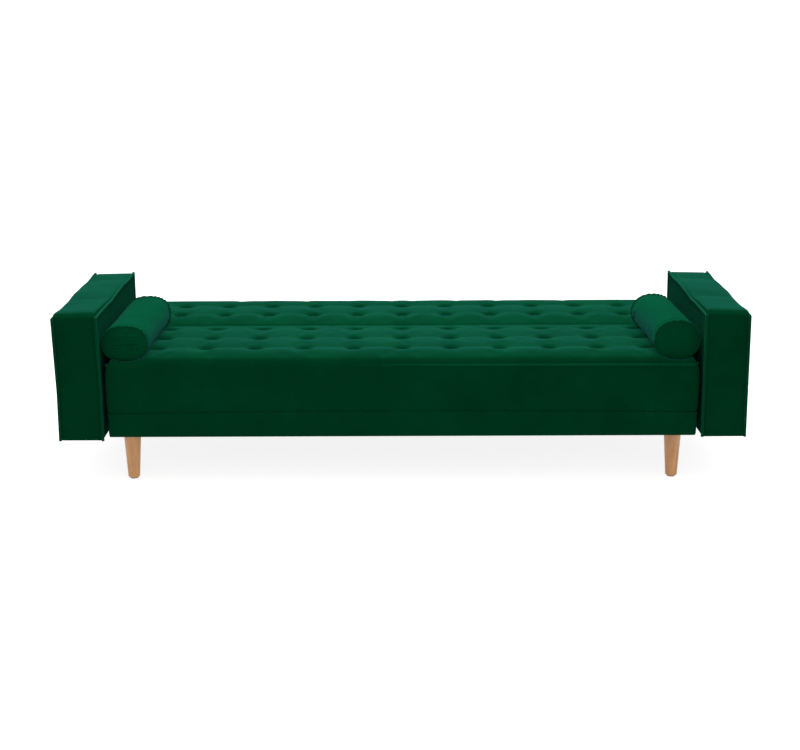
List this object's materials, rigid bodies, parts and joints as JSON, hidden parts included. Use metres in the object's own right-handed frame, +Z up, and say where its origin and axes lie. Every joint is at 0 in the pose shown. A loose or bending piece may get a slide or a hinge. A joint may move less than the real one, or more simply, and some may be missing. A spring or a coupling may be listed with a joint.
{
  "type": "futon sofa bed",
  "caption": "Folded-flat click-clack sofa bed: tufted velvet seat and hinged backrest between box arms, with two loose bolsters and tapered wooden legs.",
  "frame": {"origin": "on the floor, in the middle of the sofa bed's plan when it is folded out flat", "axes": "+X along the width, towards the sitter's left; +Y from the front edge to the backrest; +Z up"},
  "size_m": [2.15, 0.965, 0.553],
  "materials": {
    "velvet": "short-pile woven velvet, soft sheen",
    "piping": "velvet-covered round welt",
    "button": "velvet-covered tufting button",
    "leg_wood": "satin lacquered light hardwood",
    "frame_wood": "rough sawn softwood",
    "panel_board": "sanded particle board",
    "foam": "open-cell upholstery foam",
    "felt": "needled felt",
    "lining": "non-woven dust cover cloth",
    "webbing": "woven elastic webbing",
    "twine": "waxed twine with a toggle bar",
    "spring_steel": "oiled spring wire",
    "zinc": "bright zinc plate",
    "hinge_steel": "black powder coat, satin",
    "plastic": "moulded, matte",
    "rubber_pad": "soft rubber"
  },
  "bodies": {
    "base": {"arm_bolt_washers": "zinc", "arm_bolts": "zinc", "arm_dust_covers": "lining", "arm_padding": "foam", "arm_panels": "panel_board", "arm_piping": "piping", "arm_posts": "frame_wood", "arm_standoffs": "plastic", "arm_tee_nuts": "zinc", "base_cover": "velvet", "base_cross_rails": "frame_wood", "base_dust_covers": "lining", "base_front_rail": "frame_wood", "base_rear_rail": "frame_wood", "base_side_rails": "frame_wood", "frame_screws": "zinc", "front_left_leg": "leg_wood", "front_right_leg": "leg_wood", "hinge_rivets": "zinc", "left_arm_cover": "velvet", "leg_blocks": "frame_wood", "leg_bolts": "zinc", "leg_glides": "plastic", "leg_plates": "zinc", "pawl_springs": "spring_steel", "rear_left_leg": "leg_wood", "rear_right_leg": "leg_wood", "rest_pads": "rubber_pad", "right_arm_cover": "velvet", "seat_brackets": "hinge_steel", "seat_button_ties": "twine", "seat_buttons": "button", "seat_cover": "velvet", "seat_foam": "foam", "seat_front_rail": "frame_wood", "seat_insulator": "felt", "seat_piping": "piping", "seat_rear_rail": "frame_wood", "seat_side_rails": "frame_wood", "seat_springs": "spring_steel", "spring_clips": "plastic", "wood_screws": "zinc"},
    "backrest": {"back_brackets": "hinge_steel", "back_bracket_screws": "zinc", "backrest_bottom_rail": "frame_wood", "backrest_button_ties": "twine", "backrest_buttons": "button", "backrest_cover": "velvet", "backrest_foam": "foam", "backrest_piping": "piping", "backrest_rear_panel": "velvet", "backrest_slats": "frame_wood", "backrest_stiles": "frame_wood", "backrest_top_rail": "frame_wood", "backrest_webbing": "webbing"},
    "left_pawl": {"left_pawl": "hinge_steel"},
    "right_pawl": {"right_pawl": "hinge_steel"},
    "left_bolster": {"left_bolster": "velvet"},
    "right_bolster": {"right_bolster": "velvet"}
  },
  "joints": [
    {"name": "backrest_fold", "type": "hinge", "parent": "base", "child": "backrest", "pos_m": [0, 0.0825, 0.376], "axis": [1, 0, 0], "range_deg": [0, 86]},
    {"name": "left_pawl_release", "type": "hinge", "parent": "base", "child": "left_pawl", "pos_m": [0.9249, 0.056, 0.34], "axis": [1, 0, 0], "range_deg": [-6.5, 0]},
    {"name": "right_pawl_release", "type": "hinge", "parent": "base", "child": "right_pawl", "pos_m": [-0.9249, 0.056, 0.34], "axis": [1, 0, 0], "range_deg": [-6.5, 0]},
    {"name": "left_bolster_lift", "type": "slide", "parent": "base", "child": "left_bolster", "axis": [0, 0, 1], "range_m": [0, 0.25]},
    {"name": "right_bolster_lift", "type": "slide", "parent": "base", "child": "right_bolster", "axis": [0, 0, 1], "range_m": [0, 0.25]}
  ]
}
